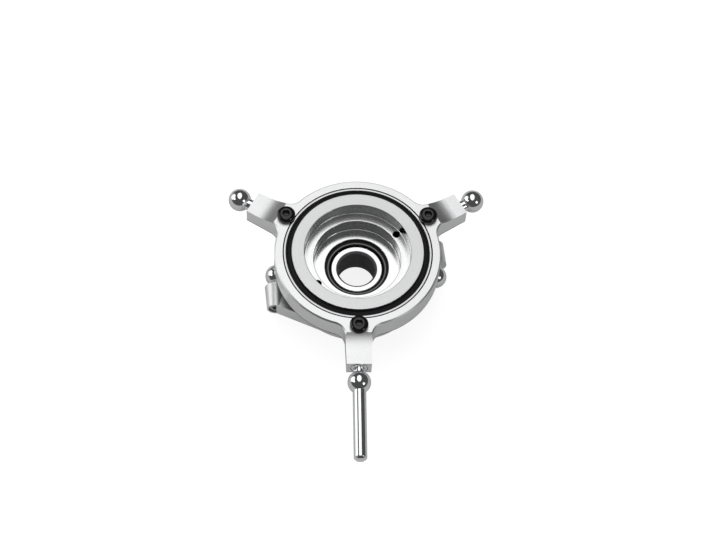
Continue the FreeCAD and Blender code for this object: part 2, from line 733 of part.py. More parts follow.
def check_document(doc, builder):
    """Stop if any object failed, or if a sub-part is empty or not valid."""
    for item in doc.Objects:
        if "Invalid" in item.State or "Error" in item.State:
            raise RuntimeError("%s failed: %s" % (item.Label, item.State))
    for item in builder.bodies:
        if item.Shape.isNull() or not item.Shape.isValid() or item.Shape.Volume <= 0:
            raise RuntimeError("%s has no valid solid" % item.Label)


def check_cuts(builder):
    """Stop if a cut took nothing away from the feature before it."""
    for body in builder.bodies:
        if body.TypeId != "PartDesign::Body":
            continue
        solids = [item for item in body.Group if item.isDerivedFrom("PartDesign::Feature")]
        for before, after in zip(solids, solids[1:]):
            if after.TypeId in ("PartDesign::Pocket", "PartDesign::Groove"):
                if after.Shape.Volume > before.Shape.Volume - 1e-6:
                    raise RuntimeError("%s cuts nothing from %s" % (after.Label, body.Label))


def main():
    doc = FreeCAD.newDocument("swashplate")
    make_sheet(doc)
    builder = Builder(doc)
    pivot_ball(builder)
    ball_seats(builder)
    bearing_races(builder)
    bearing_rolling_parts(builder)
    bearing_seals(builder)
    stationary_ring(builder)
    race_screws(builder)
    servo_balls(builder)
    rotating_plate(builder)
    link_balls(builder)
    clamp_nut(builder)
    doc.recompute()
    check_document(doc, builder)
    check_cuts(builder)
    os.makedirs("parts", exist_ok=True)
    for item in builder.bodies:
        item.Shape.exportStep("parts/%s.step" % item.Label)


main()
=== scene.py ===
"""Looks of the swashplate: finishes of its pieces, the new turned pieces, floor, lamps and camera."""

import math
from types import SimpleNamespace

import bmesh
import bpy
import numpy as np
from bpy.props import FloatProperty, FloatVectorProperty, PointerProperty
from mathutils import Matrix, Vector


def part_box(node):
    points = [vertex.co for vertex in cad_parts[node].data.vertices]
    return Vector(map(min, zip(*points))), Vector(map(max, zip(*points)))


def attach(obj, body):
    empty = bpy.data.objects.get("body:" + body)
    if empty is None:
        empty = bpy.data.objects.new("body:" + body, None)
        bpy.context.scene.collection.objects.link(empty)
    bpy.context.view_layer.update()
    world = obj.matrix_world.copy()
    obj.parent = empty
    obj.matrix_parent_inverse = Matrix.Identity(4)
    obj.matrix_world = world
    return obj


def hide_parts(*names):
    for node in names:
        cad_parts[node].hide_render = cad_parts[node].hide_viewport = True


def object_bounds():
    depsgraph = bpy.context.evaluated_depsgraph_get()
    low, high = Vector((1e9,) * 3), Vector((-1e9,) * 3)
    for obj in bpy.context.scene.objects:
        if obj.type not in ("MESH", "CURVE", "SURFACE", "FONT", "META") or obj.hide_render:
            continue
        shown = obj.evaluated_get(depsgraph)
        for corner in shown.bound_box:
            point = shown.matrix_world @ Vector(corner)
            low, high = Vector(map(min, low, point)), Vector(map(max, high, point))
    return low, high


bl_info = {
    "name": "Swashplate looks",
    "version": (1, 0, 0),
    "blender": (4, 5, 0),
    "location": "3D View > Sidebar > Swashplate",
    "description": "Finishes the swashplate, turns its round pieces and sets up its stage",
    "category": "Object",
}

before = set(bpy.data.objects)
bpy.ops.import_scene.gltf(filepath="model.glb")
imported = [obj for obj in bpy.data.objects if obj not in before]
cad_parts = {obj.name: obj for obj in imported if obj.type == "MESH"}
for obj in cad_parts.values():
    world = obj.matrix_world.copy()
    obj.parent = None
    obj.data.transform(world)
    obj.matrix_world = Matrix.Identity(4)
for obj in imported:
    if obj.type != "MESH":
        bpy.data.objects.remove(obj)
FRAME_LOW, FRAME_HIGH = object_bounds()
MM = 0.001

# Directions from the mast, in degrees from the X axis.
SERVO_ARMS = {"left": 150, "right": 30}
PIN_ARM = 270
RACE_SCREWS = {1: 270, 2: 30, 3: 150}
SPANNER_HOLES = (35.5, 215.5)

# The rotor links: the side of the mast along X, and the direction in which the ball's tip points.
ROTOR_LINKS = {"left": (-1, 90), "right": (1, 270)}

# Waves to the metre of the noises in the finishes.
TURNED_PATCHES = 260.0
BRUSHED_PATCHES = 220.0
BRUSHED_SPECKS = 5200.0
NUT_GRAINS = 9000.0
POLISH_WIPES = 900.0
OXIDE_PATCHES = 1500.0
MOULDED_SKIN = 2200.0

MARK_DEPTH = 0.15       # depth of a tool mark, as a share of the marks' spacing
BRUSH_STRETCH = 0.06    # how much slower the brushed grain changes along X
LEAD = 0.7              # end of a line that runs into a ball, as a share of the ball's radius
SHAFT_STEPS = 128       # steps round a stud or a link ball
NUT_STEPS = 288         # steps round the nut


# ---------------------------------------------------------------- settings

def length(name, description, millimetres):
    """Return a length property whose default is given in millimetres."""
    return FloatProperty(name=name, description=description, default=millimetres * MM,
                         subtype="DISTANCE", unit="LENGTH", precision=5)


def colour(name, description, red, green, blue):
    """Return a colour property."""
    return FloatVectorProperty(name=name, description=description, default=(red, green, blue),
                               size=3, subtype="COLOR", min=0, max=1)


def in_millimetres(settings):
    """Return a group's lengths in millimetres, rounded to a tenth of a micrometre."""
    sizes = {name: round(getattr(settings, name) / MM, 4) for name in settings.__annotations__}
    return SimpleNamespace(**sizes)


class SizeSettings(bpy.types.PropertyGroup):
    """Sizes of the turned pieces. Heights count from the centre of the pivot ball."""

    arm_height: length("Arm height", "Height of the studs in the arms", 7.65)
    arm_reach: length("Arm reach", "From the mast's axis to the end of an arm", 26.0)
    ball_reach: length("Ball reach", "From the mast's axis to the centre of a ball on an arm", 29.3)
    ball_radius: length("Ball", "Radius of every link ball", 2.45)
    ball_flat: length("Ball flat", "Radius of the flat at the tip of a ball", 0.55)
    neck_radius: length("Neck", "Radius of the neck behind a ball", 1.3)
    collar_radius: length("Collar", "Radius of the collar against the arm", 1.7)
    stud_radius: length("Stud", "Radius of the part of a stud inside its arm", 1.0)
    stud_length: length("Stud length", "Length of the part of a stud inside its arm", 3.95)
    pin_radius: length("Guide pin", "Radius of the guide pin", 1.4)
    link_reach: length("Link reach", "From the mast's axis to the centre of a rotor link's ball", 17.3)
    link_face: length("Link face", "From the centre of a rotor link's ball to its boss", 2.9)
    link_tap_radius: length("Link tap", "Radius of the tapped hole in a rotor link's ball", 1.02)
    link_tap_end: length("Link tap end", "From the centre of a rotor link's ball to the end of its hole", 1.5)

    race_screw_circle: length("Screw circle", "From the mast's axis to a race screw", 17.65)
    race_screw_seat: length("Screw seat", "Height of the face under the race screws' heads", 10.8)
    race_screw_top: length("Screw top", "Height of the top of the race screws' heads", 12.15)
    race_screw_edge: length("Screw edge", "Height of a head's straight side", 0.75)
    race_screw_head: length("Screw head", "Radius of the race screws' heads", 1.95)
    race_screw_length: length("Screw length", "Length of a race screw below its head", 3.6)
    race_socket_flats: length("Screw socket", "Width across the flats of a race screw's socket", 1.27)
    race_socket_depth: length("Screw socket depth", "Depth of a race screw's socket", 0.85)
    race_socket_mouth: length("Screw socket mouth", "Radius of the edge round a race screw's socket", 0.85)
    link_screw_end: length("Link screw end", "From a rotor link ball's centre to its screw's outer face", 7.9)
    link_screw_seat: length("Link screw seat", "From a rotor link ball's centre to the head's seat", 6.6)
    link_screw_head: length("Link screw head", "Radius of the link screws' heads", 1.55)
    link_screw_tip: length("Link screw tip", "From a rotor link ball's centre to its screw's tip", 1.5)
    link_socket_flats: length("Link socket", "Width across the flats of a link screw's socket", 1.5)
    link_socket_depth: length("Link socket depth", "Depth of a link screw's socket", 0.8)
    link_socket_mouth: length("Link socket mouth", "Radius of the edge round a link screw's socket", 0.95)
    thread_radius: length("Screw thread", "Radius of the screws' shanks", 1.0)

    nut_sleeve: length("Nut sleeve", "Radius of the nut inside the inner race", 12.48)
    nut_thread: length("Nut thread", "Radius of the nut's thread", 11.5)
    nut_thread_top: length("Nut thread top", "Height of the step above the nut's thread", 6.8)
    nut_flange_foot: length("Nut flange", "Height of the underside of the nut's flange", 10.8)
    nut_mouth: length("Nut mouth", "Radius of the nut's upper bore", 11.4)
    nut_ledge: length("Nut ledge", "Height of the ledge with the spanner holes", 7.9)
    nut_waist: length("Nut waist", "Radius of the nut's lower bore", 9.35)
    nut_floor: length("Nut floor", "Height of the ledge above the ball's seat", 4.4)
    nut_throat: length("Nut throat", "Radius of the hole in the nut's foot", 6.9)
    spanner_reach: length("Spanner hole reach", "From the mast's axis to a spanner hole", 10.45)
    spanner_radius: length("Spanner hole", "Radius of the spanner holes", 0.8)
    spanner_depth: length("Spanner hole depth", "Depth of the spanner holes", 2.5)

    inner_race_bore: length("Inner race bore", "Radius of the bearing's bore", 12.5)
    inner_race_land: length("Inner race land", "Radius of the inner race beside its groove", 13.6)
    inner_race_groove: length("Inner race groove", "Radius at the bottom of the inner race's groove", 13.24)
    outer_race_land: length("Outer race land", "Radius of the outer race beside its groove", 14.95)
    outer_race_groove: length("Outer race groove", "Radius at the bottom of the outer race's groove", 15.27)
    outer_race_recess: length("Outer race recess", "Radius of the recess for a seal", 15.35)
    seal_recess: length("Seal recess", "Depth of the recess for a seal", 0.4)
    groove_width: length("Groove width", "Half the width of the races' grooves", 0.7)
    seal_inside: length("Seal inside", "Inner radius of the seals", 13.66)
    seal_outside: length("Seal outside", "Outer radius of the seals", 15.33)

    mast_bore: length("Mast bore", "Radius of the pivot ball's bore", 4.0)
    mast_bore_chamfer: length("Mast bore chamfer", "Chamfer at both ends of the bore", 0.4)
    seat_gap: length("Seat gap", "Room between the pivot ball and its seat", 0.05)
    seat_mouth: length("Seat mouth", "How much smaller than the ball's radius the seat's mouth is", 0.6)
    seat_clearance: length("Seat clearance", "Room between the seat and its housing", 0.03)
    seat_lip: length("Seat lip", "Radius of the step at the seat's mouth", 6.6)
    seat_step: length("Seat step", "Depth of the step at the seat's mouth", 0.22)
    # Painted highlight: the pale line on the seat stands in for a highlight on its lip.
    seat_painted_highlight: length("Seat line", "Radius of the pale line on the seat", 6.2)


class FinishSettings(bpy.types.PropertyGroup):
    """Colours and grain of the finishes."""

    aluminium: colour("Aluminium", "Colour of the fixed ring and the nut", 0.91, 0.915, 0.92)
    plate: colour("Turning plate", "Colour of the plate that turns with the rotor", 0.90, 0.905, 0.91)
    race: colour("Bearing steel", "Colour of the ground races", 0.58, 0.58, 0.59)
    polished: colour("Polished steel", "Colour of the link balls and the guide pin", 0.86, 0.865, 0.88)
    black_steel: colour("Black steel", "Colour of the screws", 0.003, 0.003, 0.0035)
    dark_steel: colour("Dark steel", "Colour of the link screws", 0.45, 0.45, 0.46)
    rubber: colour("Seal", "Colour of the bearing's seals", 0.005, 0.005, 0.006)
    acetal: colour("Seat", "Colour of the ball's seat", 0.008, 0.008, 0.009)
    # Painted shade: the dark colour inside the mast bore.
    bore: colour("Mast bore", "Colour inside the mast bore", 0.10, 0.10, 0.105)
    nylon: colour("Cage", "Colour of the bearing's cage", 0.62, 0.50, 0.28)
    turning_pitch: length("Turning marks", "Spacing of the marks left by the lathe", 0.09)


class StageSettings(bpy.types.PropertyGroup):
    """Floor and camera."""

    elevation: FloatProperty(name="Elevation", description="Height of the camera above the horizon",
                             default=math.radians(61.046), subtype="ANGLE", unit="ROTATION")
    roll: FloatProperty(name="Roll", description="Turn of the camera about its line of sight",
                        default=math.radians(-4.087), subtype="ANGLE", unit="ROTATION")
    swing: FloatProperty(name="Swing", description="Turn of the part about its mast under the camera",
                         default=math.radians(4.374), subtype="ANGLE", unit="ROTATION")
    distance: length("Distance", "Distance from the camera to the ring's top", 396.75)
    aside: length("Aside", "How far the ring's centre lies to the right of the middle of the view", 0.389)
    above: length("Above", "How far the ring's centre lies above the middle of the view", 5.977)
    lens: FloatProperty(name="Lens", description="Focal length on a 36 mm wide sensor", default=94.19,
                        unit="CAMERA")
    floor_size: length("Floor", "Length of the floor's side", 4000)
    floor_drop: length("Floor drop", "Room left under the part for its tilt", 4.2)
    floor_tone: FloatProperty(name="Floor tone", description="Grey value of the floor in reflections",
                              default=0.42, min=0, max=1)


# ---------------------------------------------------------------- shader words

class Term:
    """A shader socket that takes part in sums: each operator adds one Math node."""

    def __init__(self, shader, socket):
        self.shader = shader
        self.socket = socket

    def __add__(self, other):
        return self.shader.math("ADD", self, other)

    def __radd__(self, other):
        return self.shader.math("ADD", other, self)

    def __sub__(self, other):
        return self.shader.math("SUBTRACT", self, other)

    def __rsub__(self, other):
        return self.shader.math("SUBTRACT", other, self)

    def __mul__(self, other):
        return self.shader.math("MULTIPLY", self, other)

    def __rmul__(self, other):
        return self.shader.math("MULTIPLY", other, self)


class Shader:
    """A node tree under construction, of a material or of the world."""

    def __init__(self, owner, output="ShaderNodeOutputMaterial"):
        owner.use_nodes = True
        self.owner = owner
        self.tree = owner.node_tree
        self.tree.nodes.clear()
        self.output = self.tree.nodes.new(output)

    def node(self, kind, settings=None, **inputs):
        """Add a node: its settings first, then the values or links of its sockets, by name or number."""
        node = self.tree.nodes.new(kind)
        for key, value in (settings or {}).items():
            setattr(node, key, value)
        for key, value in inputs.items():
            number = key[1:] if key[0] == "i" else ""
            socket = node.inputs[int(number)] if number.isdigit() else node.inputs[key.replace("_", " ")]
            self.feed(socket, value)
        return node

    def feed(self, socket, value):
        """Link a term to a socket, or set the socket to a value."""
        if isinstance(value, Term):
            self.tree.links.new(value.socket, socket)
        else:
            socket.default_value = value

    def term(self, node, output=0):
        """Return an output of a node as a term."""
        return Term(self, node.outputs[output])

    def math(self, operation, *terms):
        """Return what a Math node makes of one or two terms."""
        inputs = {"i%d" % number: term for number, term in enumerate(terms)}
        return self.term(self.node("ShaderNodeMath", {"operation": operation}, **inputs))

    def between(self, value, low, high):
        """Return 0 below low, 1 above high and a smooth rise between."""
        node = self.node("ShaderNodeMapRange", {"interpolation_type": "SMOOTHSTEP"},
                         Value=value, From_Min=low, From_Max=high)
        return self.term(node)

    def mixed(self, amount, first, second):
        """Return a colour mixed from two by an amount."""
        node = self.node("ShaderNodeMix", {"data_type": "RGBA"}, i0=amount, i6=first, i7=second)
        return self.term(node, 2)

    def place(self):
        """Return the object's coordinates as a vector term and as x, y and z terms."""
        vector = self.term(self.node("ShaderNodeTexCoord"), "Object")
        parts = self.node("ShaderNodeSeparateXYZ", Vector=vector)
        return vector, self.term(parts, 0), self.term(parts, 1), self.term(parts, 2)

    def vector(self, x, y, z):
        """Return three terms or numbers as a vector term."""
        return self.term(self.node("ShaderNodeCombineXYZ", X=x, Y=y, Z=z))

    def length(self, first, second):
        """Return the square root of the sum of two squares."""
        return self.math("SQRT", first * first + second * second)

    def noise(self, vector, scale, detail, roughness=0.5):
        """Return smooth noise of a place, with its scale in waves to the metre."""
        node = self.node("ShaderNodeTexNoise", Vector=vector, Scale=scale, Detail=detail, Roughness=roughness)
        return self.term(node)

    def lathe_marks(self, reach, z, pitch, roughness=0.65):
        """Return noise of the distance from the axis and the height, the same all the way round."""
        return self.noise(self.vector(reach, z, 0.0), 1.0 / pitch, 3.0, roughness)

    def bump(self, height, strength, distance):
        """Return the normal of a surface that a height raises by up to a distance."""
        node = self.node("ShaderNodeBump", Height=height, Strength=strength, Distance=distance)
        return self.term(node)

    def surface(self, **inputs):
        """Add the main shader, make it the surface and return the finished material."""
        shader = self.node("ShaderNodeBsdfPrincipled", **inputs)
        self.tree.links.new(shader.outputs[0], self.output.inputs["Surface"])
        return self.owner


def new_shader(name):
    """Return an empty material to build up."""
    return Shader(bpy.data.materials.new(name))


def grey(value):
    """Return a grey with full cover."""
    return (value, value, value, 1.0)


def toned(values, factor=1.0):
    """Return a colour made lighter or darker, held below 1, with full cover."""
    return (*[min(1.0, part * factor) for part in values], 1.0)


# ---------------------------------------------------------------- finishes

def turned_metal(name, tone, pitch, roughness, depth=0.35, rim=None):
    """Metal off the lathe: marks that run round the Z axis, as rings on flats and as lines on walls.

    The height is noise of (distance from the axis, height along it), so it never changes round the axis,
    with a slower noise that breaks the gloss up. Past the rim the colour is painted near black: shade in the
    gap where the piece fits its housing.
    """
    shader = new_shader(name)
    place, x, y, z = shader.place()
    reach = shader.length(x, y)
    marks = shader.lathe_marks(reach, z, pitch)
    broad = shader.noise(place, TURNED_PATCHES, 2.0)
    shade = shader.mixed(broad * 0.5 + marks * 0.5, toned(tone, 0.93), toned(tone, 1.05))
    if rim:
        # Painted shade: past the rim the colour turns near black, standing in for the shade in the gap to the
        # housing.
        shade = shader.mixed(shader.between(reach, rim - 0.12 * MM, rim), shade, grey(0.02))
    return shader.surface(Base_Color=shade, Metallic=1.0,
                          Roughness=broad * 0.06 + marks * 0.10 + (roughness - 0.08),
                          Normal=shader.bump(marks, depth, pitch * MARK_DEPTH))


def nut_metal(name, finish, size, top):
    """Metal of the nut: a fine matt face on the flange, polished walls and ledges below it, holes painted
    near black as shade.

    With the holes' direction along one line, the distance from the nearer hole is the length of (distance
    along the line, less the holes' reach, and distance beside it).
    """
    shader = new_shader(name)
    place, x, y, z = shader.place()
    marks = shader.lathe_marks(shader.length(x, y), z, finish.turning_pitch)
    grains = shader.noise(place, NUT_GRAINS, 3.0, 0.7)
    face = shader.between(z, (top - 0.1) * MM, (top - 0.01) * MM)

    turn = math.radians(SPANNER_HOLES[0])
    cosine, sine = math.cos(turn), math.sin(turn)
    along = shader.math("ABSOLUTE", x * cosine + y * sine) - size.spanner_reach * MM
    from_hole = shader.length(along, y * cosine - x * sine)
    outside = shader.between(from_hole, size.spanner_radius * MM, (size.spanner_radius + 0.03) * MM)
    below = (size.nut_ledge - 0.15) * MM
    # Painted shade: inside the spanner holes, below the ledge, the colour is near black.
    hole = (1.0 - outside) * (1.0 - shader.between(z, below, (size.nut_ledge - 0.05) * MM))
    ledge = (shader.between(z, below, (size.nut_ledge - 0.1) * MM)
             - shader.between(z, (size.nut_ledge + 0.05) * MM, (size.nut_ledge + 0.1) * MM))

    grain = shader.between(marks * 0.4 + grains * 0.6, 0.3, 0.7)
    matt = shader.mixed(grain, toned(finish.aluminium, 0.66), toned(finish.aluminium, 0.84))
    wall = shader.mixed(marks, toned(finish.aluminium, 0.76), toned(finish.aluminium, 0.98))
    return shader.surface(Base_Color=shader.mixed(hole, shader.mixed(face, wall, matt), grey(0.004)),
                          Metallic=1.0,
                          Roughness=face * 0.19 + ledge * 0.08 + marks * 0.10 + 0.11,
                          Normal=shader.bump(marks * 0.5 + grains * 0.5, 0.3, 0.012 * MM))


def brushed_metal(name, tone, pitch, foot):
    """Milled and brushed metal: fine straight grain along X, and painted shade: a dark band just above the
    foot.
    """
    shader = new_shader(name)
    place, x, y, z = shader.place()
    grain = shader.noise(shader.vector(x * BRUSH_STRETCH, y, z), 1.0 / pitch, 3.0, 0.7)
    broad = shader.noise(place, BRUSHED_PATCHES, 2.0)
    speck = shader.between(shader.noise(place, BRUSHED_SPECKS, 3.0, 0.7), 0.3, 0.7)
    # Painted shade: below this height the colour turns dark grey, standing in for the shade along the ring's
    # lower edge.
    above = shader.between(z, foot + 0.45 * MM, foot + 0.62 * MM)
    shade = shader.mixed(broad * 0.2 + grain * 0.4 + speck * 0.4, toned(tone, 0.86), toned(tone, 1.08))
    return shader.surface(Base_Color=shader.mixed(above, grey(0.14), shade), Metallic=1.0,
                          Roughness=broad * 0.06 + grain * 0.12 + 0.28,
                          Normal=shader.bump(grain, 0.3, pitch * MARK_DEPTH))


def polished_metal(name, tone):
    """Mirror polish with faint wipe marks in its gloss and tone."""
    shader = new_shader(name)
    place, _, _, _ = shader.place()
    wipes = shader.noise(place, POLISH_WIPES, 3.0)
    return shader.surface(Base_Color=shader.mixed(wipes, toned(tone, 0.97), toned(tone, 1.02)),
                          Metallic=1.0, Roughness=wipes * 0.06 + 0.08)


def black_oxide(name, tone):
    """Blackened steel: dark, a little uneven, with a soft sheen."""
    shader = new_shader(name)
    place, _, _, _ = shader.place()
    uneven = shader.noise(place, OXIDE_PATCHES, 4.0)
    return shader.surface(Base_Color=shader.mixed(uneven, toned(tone, 0.7), toned(tone, 1.6)),
                          Metallic=0.0, Specular_IOR_Level=0.5, Roughness=uneven * 0.08 + 0.06,
                          Normal=shader.bump(uneven, 0.1, 0.01 * MM))


def moulded(name, tone, gloss, line=None):
    """Moulded plastic or rubber with a fine skin, and a painted highlight: a paler line round it at a
    distance from the axis.
    """
    shader = new_shader(name)
    place, x, y, _ = shader.place()
    skin = shader.noise(place, MOULDED_SKIN, 3.0)
    shade = shader.mixed(skin, toned(tone, 0.8), toned(tone, 1.25))
    if line:
        # Painted highlight: a thin pale grey line at this distance from the axis.
        off = shader.math("ABSOLUTE", shader.length(x, y) - line)
        shade = shader.mixed(shader.between(off, 0.06 * MM, 0.16 * MM), grey(0.17), shade)
    return shader.surface(Base_Color=shade, Roughness=skin * 0.12 + gloss, Specular_IOR_Level=0.16,
                          Normal=shader.bump(skin, 0.2, 0.015 * MM))


def bored_ball(name, tone, bore_painted_shade, bore_radius, pitch):
    """Pivot ball: bright ground ends and a fine-turned bore whose colour is painted dark as shade, by the
    distance from the axis.
    """
    shader = new_shader(name)
    _, x, y, z = shader.place()
    reach = shader.length(x, y)
    outside = shader.between(reach, bore_radius + 0.44 * MM, bore_radius + 0.48 * MM)
    marks = shader.lathe_marks(reach, z, pitch, roughness=0.5)
    # Painted shade: inside the bore the colour is the dark bore colour, less metallic and rougher.
    return shader.surface(Base_Color=shader.mixed(outside, toned(bore_painted_shade), toned(tone)),
                          Metallic=outside * 0.6 + 0.4,
                          Roughness=0.5 - outside * 0.28 + marks * 0.08,
                          Normal=shader.bump(marks, 0.3, pitch * MARK_DEPTH))


def dress(material, *nodes):
    """Give CAD nodes a finish."""
    for name in nodes:
        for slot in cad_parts[name].material_slots:
            slot.material = material


# ---------------------------------------------------------------- shapes

def box_in_millimetres(node):
    """Return the lowest and the highest corner of a CAD node at rest, in millimetres."""
    low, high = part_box(node)
    return [value / MM for value in low], [value / MM for value in high]


def along_ball(radius, reach):
    """Return a ball's height at a reach from its axis: the root of radius squared less reach squared."""
    return math.sqrt(radius ** 2 - reach ** 2)


def rounded(corners, closed=True):
    """Return a profile in which each corner (across, along, round) gives way to an arc of six steps.

    Each arc touches both its sides: its centre lies on the corner's bisector, at the round divided by the
    sine of half the corner's angle. A point on each side, close to the arc, keeps the shading of flats flat.
    An open profile keeps its first and last corner as they are.
    """
    corners = np.array(corners, float)
    points, rounds = corners[:, :2], np.maximum(corners[:, 2], 0.004)
    before = np.roll(points, 1, axis=0) - points
    after = np.roll(points, -1, axis=0) - points
    reach_before = np.linalg.norm(before, axis=1)
    reach_after = np.linalg.norm(after, axis=1)
    before /= reach_before[:, None]
    after /= reach_after[:, None]
    half = np.arccos(np.clip((before * after).sum(axis=1), -1, 1)) / 2
    tangent = rounds / np.tan(half)
    middle = before + after
    middle /= np.maximum(np.linalg.norm(middle, axis=1), 1e-9)[:, None]
    centres = points + middle * (rounds / np.sin(half))[:, None]
    start = (points + before * tangent[:, None] - centres) / rounds[:, None]
    end = (points + after * tangent[:, None] - centres) / rounds[:, None]
    sweep = (np.pi - 2 * half)[:, None, None]
    share = np.linspace(0, 1, 7)[None, :, None]
    turned_start = np.sin((1 - share) * sweep) * start[:, None]
    turned_end = np.sin(share * sweep) * end[:, None]
    arcs = centres[:, None] + rounds[:, None, None] * ((turned_start + turned_end) / np.sin(sweep))
    spare_before = np.minimum(0.08, 0.3 * (reach_before - tangent - np.roll(tangent, 1)))
    spare_after = np.minimum(0.08, 0.3 * (reach_after - tangent - np.roll(tangent, -1)))
    first = points + before * (tangent + spare_before)[:, None]
    last = points + after * (tangent + spare_after)[:, None]
    profile = np.concatenate([first[:, None], arcs, last[:, None]], axis=1)
    if closed:
        return profile.reshape(-1, 2)
    inner = profile[1:-1].reshape(-1, 2)
    return np.concatenate([points[:1], inner, points[-1:]])


def arc(centre, radius, start, end, steps):
    """Return points on a circle: centre plus radius times (cosine, sine) of an angle in degrees."""
    angles = np.radians(np.linspace(start, end, steps + 1))
    return np.stack([centre[0] + radius * np.cos(angles), centre[1] + radius * np.sin(angles)], axis=1)


def grid_faces(rows, columns, loop):
    """Return the faces of a grid of points, closed along its columns and, for a loop, along its rows."""
    row = np.arange(rows if loop else rows - 1)[:, None]
    column = np.arange(columns)[None, :]
    corner = row * columns + column
    across = row * columns + (column + 1) % columns
    below = (row + 1) % rows * columns + column
    opposite = (row + 1) % rows * columns + (column + 1) % columns
    return np.stack([corner, across, opposite, below], axis=-1).reshape(-1, 4)


def facing_out(points, faces):
    """Return the faces turned so that the volume they enclose counts as positive."""
    a, b, c, d = (points[faces[:, number]] for number in range(4))
    volume = (a * np.cross(b, c)).sum() + (a * np.cross(c, d)).sum()
    return faces if volume > 0 else faces[:, ::-1]


def add_piece(name, points, faces, material, body, slot_name, *nodes, crease=35):
    """Make an object of points in millimetres and faces of four corners, and let it stand for CAD nodes."""
    mesh = bpy.data.meshes.new(name)
    mesh.from_pydata((points * MM).tolist(), [], facing_out(points, faces).tolist())
    form = bmesh.new()
    form.from_mesh(mesh)
    bmesh.ops.remove_doubles(form, verts=form.verts, dist=0.0005 * MM)
    form.to_mesh(mesh)
    form.free()
    mesh.polygons.foreach_set("use_smooth", np.ones(len(mesh.polygons), bool))
    mesh.set_sharp_from_angle(angle=math.radians(crease))
    mesh.materials.append(material)
    piece = bpy.data.objects.new(name, mesh)
    bpy.context.collection.objects.link(piece)
    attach(piece, body)
    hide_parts(*nodes)


def turned(profile, steps=192, loop=True):
    """Carry a profile (reach, height) round Z: x and y are reach times cosine and sine of the turn."""
    turn = np.linspace(0, 2 * np.pi, steps, endpoint=False)
    reach, height = profile[:, :1], profile[:, 1:]
    points = np.stack([reach * np.cos(turn), reach * np.sin(turn), height + 0 * turn], axis=-1)
    return points.reshape(-1, 3), grid_faces(len(profile), steps, loop)


def laid(points, place, turn):
    """Lay a piece turned about Z along a level line: its height becomes the way out at an angle about Z."""
    turn = math.radians(turn)
    along = np.array([math.cos(turn), math.sin(turn), 0])
    side = np.array([-math.sin(turn), math.cos(turn), 0])
    axes = np.stack([side, np.cross(along, side), along])
    return points @ axes + np.array(place)


def with_socket(rows):
    """Carry rows of (reach, height, hexagon share) round Z.

    The reach of a row is its own times a blend of 1 and the hexagon cos(30) / cos(turn in its side - 30).
    """
    steps = 96
    rows = np.array(rows, float)
    turn = np.linspace(0, 2 * np.pi, steps, endpoint=False)
    side = np.mod(turn, np.pi / 3) - np.pi / 6
    hexagon = math.cos(math.pi / 6) / np.cos(side)
    reach = rows[:, :1] * (1 - rows[:, 2:] + rows[:, 2:] * hexagon)
    points = np.stack([reach * np.cos(turn), reach * np.sin(turn), rows[:, 1:2] + 0 * turn], axis=-1)
    return points.reshape(-1, 3), grid_faces(len(rows), steps, False)


def socket_rows(flats, depth, top, mouth):
    """Return the rows of a hexagon socket, from its middle up to the round edge of its mouth."""
    corner = flats / math.sqrt(3)
    floor = top - depth
    return [(0, floor, 1), (corner * 0.6, floor, 1), (corner * 0.98, floor + 0.02, 1),
            (corner, floor + 0.06, 1), (corner, top - 0.12, 1), (corner * 1.01, top - 0.08, 0.9),
            (mouth, top, 0)]


def drilled(points, faces, steps, first, last, angle, reach, radius, depth):
    """Drill a hole into the flat rows from first to last of a turned piece.

    The faces round the hole give way to rings that close in from the gap's edge, along rays from the hole's
    centre, to its circle; the wall then goes down and the last ring shrinks to the centre of the floor.
    """
    grid = points[:(last + 1) * steps].reshape(-1, steps, 3)
    middle = round(angle / 360 * steps)
    spread = 8
    low, high = middle - spread, middle + spread
    row, column = np.divmod(faces[:, 0], steps)
    kept = faces[(row < first) | (row >= last) | (column < low) | (column >= high)]
    edge = np.concatenate([grid[first, low:high + 1], grid[first + 1:last, high],
                           grid[last, high:low - 1:-1], grid[last - 1:first:-1, low]])
    turn = math.radians(angle)
    centre = np.array([reach * math.cos(turn), reach * math.sin(turn), edge[0, 2]])
    ray = (edge - centre) / np.linalg.norm(edge - centre, axis=1)[:, None]
    rim, chamfer = 0.08, 0.05
    rings = [edge, (edge + centre + (radius + rim) * ray) / 2]
    for out, drop in ((radius + rim, 0), (radius + chamfer, 0), (radius, chamfer), (radius, 2 * chamfer),
                      (radius, depth), (radius * 0.4, depth), (0, depth)):
        rings.append(centre + out * ray - np.array([0, 0, drop]))
    extra = grid_faces(len(rings), len(edge), False)
    return np.concatenate([points, np.concatenate(rings)]), np.concatenate([kept, extra + len(points)])


# ---------------------------------------------------------------- operators

class SWASH_OT_fixed_ring(bpy.types.Operator):
    """Finish the plate that doesn't turn"""

    bl_idname = "swash.fixed_ring"
    bl_label = "Fixed ring"

    def execute(self, context):
        finish = context.scene.swash_finish
        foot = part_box("stationary_ring")[0][2]
        dress(brushed_metal("ring_brushed", finish.aluminium, finish.turning_pitch, foot), "stationary_ring")
        return {"FINISHED"}


class SWASH_OT_turning_plate(bpy.types.Operator):
    """Finish the plate that turns with the rotor"""

    bl_idname = "swash.turning_plate"
    bl_label = "Turning plate"

    def execute(self, context):
        finish = context.scene.swash_finish
        dress(turned_metal("plate_turned", finish.plate, finish.turning_pitch, roughness=0.42),
              "rotating_plate")
        return {"FINISHED"}


